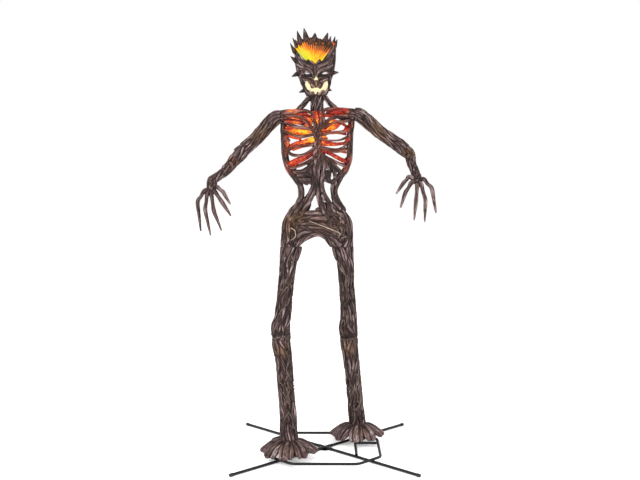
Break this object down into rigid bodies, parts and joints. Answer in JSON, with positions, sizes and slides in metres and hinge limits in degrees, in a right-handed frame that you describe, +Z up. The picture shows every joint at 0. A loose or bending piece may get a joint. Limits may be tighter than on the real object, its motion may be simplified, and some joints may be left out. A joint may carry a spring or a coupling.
{
  "type": "giant standing yard skeleton",
  "caption": "Giant light-up yard figure: a skeleton of charred twisted roots with a glowing chest, a flame crown and a carved grin, striding on a cross-and-ring tube stand.",
  "frame": {"origin": "on the ground, under the centre of the stand's cross hub", "axes": "+Z up, -Y the way the figure faces, +X to the figure's left"},
  "size_m": [2.0586, 1.595, 3.8019],
  "materials": {
    "black_steel": "satin black powder coat",
    "zinc": "zinc plated",
    "black_plastic": "moulded, fine texture",
    "bark": "blow-moulded roots, charred brown with tan dry-brushed ridges",
    "ember": "translucent, orange to red",
    "flame": "translucent, yellow to orange",
    "glow": "translucent, pale"
  },
  "bodies": {
    "root": {"cross_hub": "black_steel", "ring_front": "black_steel", "ring_rear": "black_steel", "pelvis_frame": "black_steel", "spine_pole": "black_steel", "shoulder_frame": "black_steel", "base_pole_front_right": "black_steel", "pole_cap_front_right": "black_plastic", "base_pole_front_left": "black_steel", "pole_cap_front_left": "black_plastic", "base_pole_rear_right": "black_steel", "pole_cap_rear_right": "black_plastic", "base_pole_rear_left": "black_steel", "pole_cap_rear_left": "black_plastic", "foot_frame_right": "black_steel", "shin_pole_right": "black_steel", "thigh_pole_right": "black_steel", "foot_shell_right": "bark", "shin_shell_right": "bark", "thigh_shell_right": "bark", "foot_frame_left": "black_steel", "shin_pole_left": "black_steel", "thigh_pole_left": "black_steel", "foot_shell_left": "bark", "shin_shell_left": "bark", "thigh_shell_left": "bark", "pelvis_shell": "bark", "abdomen_lattice": "bark", "ribcage_front": "bark", "ribcage_back_right": "bark", "ribcage_back_left": "bark", "neck_shell": "bark", "chest_ember_panel": "ember", "neck_motor": "black_plastic", "chest_lamp_lower": "black_plastic", "chest_lamp_upper": "black_plastic", "control_box": "black_plastic", "lamp_lead": "black_plastic"},
    "head": {"skull_front": "bark", "skull_back": "bark", "crown_flame_cup": "flame", "face_light_guide": "glow", "head_shaft": "zinc", "head_lamp": "black_plastic"},
    "arm_right": {"upper_arm_shell_right": "bark", "upper_arm_pole_right": "black_steel"},
    "forearm_right": {"forearm_shell_right": "bark", "wrist_pin_right": "black_steel"},
    "hand_right": {"hand_right": "bark"},
    "arm_left": {"upper_arm_shell_left": "bark", "upper_arm_pole_left": "black_steel"},
    "forearm_left": {"forearm_shell_left": "bark", "wrist_pin_left": "black_steel"},
    "hand_left": {"hand_left": "bark"},
    "battery_door": {"battery_door": "black_plastic"},
    "mode_button": {"mode_button": "zinc"},
    "snap_button_front_right": {"snap_button_front_right": "zinc"},
    "snap_button_front_left": {"snap_button_front_left": "zinc"},
    "snap_button_rear_right": {"snap_button_rear_right": "zinc"},
    "snap_button_rear_left": {"snap_button_rear_left": "zinc"}
  },
  "joints": [
    {"name": "head_turn", "type": "hinge", "parent": "root", "child": "head", "pos_m": [-0.077, -0.025, 3.21368], "axis": [0, 0, 1], "range_deg": [-30, 30]},
    {"name": "shoulder_right", "type": "hinge", "parent": "root", "child": "arm_right", "pos_m": [-0.402, -0.025, 3.02468], "axis": [-1, 0, 0], "range_deg": [-30, 70]},
    {"name": "elbow_right", "type": "hinge", "parent": "arm_right", "child": "forearm_right", "pos_m": [-0.798, -0.067, 2.65868], "axis": [-0.6777, -0.0852, -0.7304], "range_deg": [-45, 45]},
    {"name": "wrist_right", "type": "hinge", "parent": "forearm_right", "child": "hand_right", "pos_m": [-0.974, -0.329, 2.46268], "axis": [-0.4737, -0.7052, -0.5275], "range_deg": [-60, 60]},
    {"name": "shoulder_left", "type": "hinge", "parent": "root", "child": "arm_left", "pos_m": [0.27, -0.025, 3.04868], "axis": [-1, 0, 0], "range_deg": [-30, 70]},
    {"name": "elbow_left", "type": "hinge", "parent": "arm_left", "child": "forearm_left", "pos_m": [0.712, -0.061, 2.73268], "axis": [0.7741, -0.0726, -0.6289], "range_deg": [-45, 45]},
    {"name": "wrist_left", "type": "hinge", "parent": "forearm_left", "child": "hand_left", "pos_m": [0.794, -0.329, 2.48668], "axis": [0.2199, -0.7187, -0.6597], "range_deg": [-60, 60]},
    {"name": "battery_door_hinge", "type": "hinge", "parent": "root", "child": "battery_door", "pos_m": [-0.042, 0.15904, 1.99468], "axis": [-1, 0, 0], "range_deg": [0, 110]},
    {"name": "mode_button_press", "type": "slide", "parent": "root", "child": "mode_button", "axis": [0, 0, -1], "range_m": [0, 0.0025], "stiffness_N_per_m": 400, "springref_m": -0.001},
    {"name": "snap_button_front_right_press", "type": "slide", "parent": "root", "child": "snap_button_front_right", "axis": [0, 0, -1], "range_m": [0, 0.005], "stiffness_N_per_m": 800, "springref_m": -0.001},
    {"name": "snap_button_front_left_press", "type": "slide", "parent": "root", "child": "snap_button_front_left", "axis": [0, 0, -1], "range_m": [0, 0.005], "stiffness_N_per_m": 800, "springref_m": -0.001},
    {"name": "snap_button_rear_right_press", "type": "slide", "parent": "root", "child": "snap_button_rear_right", "axis": [0, 0, -1], "range_m": [0, 0.005], "stiffness_N_per_m": 800, "springref_m": -0.001},
    {"name": "snap_button_rear_left_press", "type": "slide", "parent": "root", "child": "snap_button_rear_left", "axis": [0, 0, -1], "range_m": [0, 0.005], "stiffness_N_per_m": 800, "springref_m": -0.001}
  ]
}
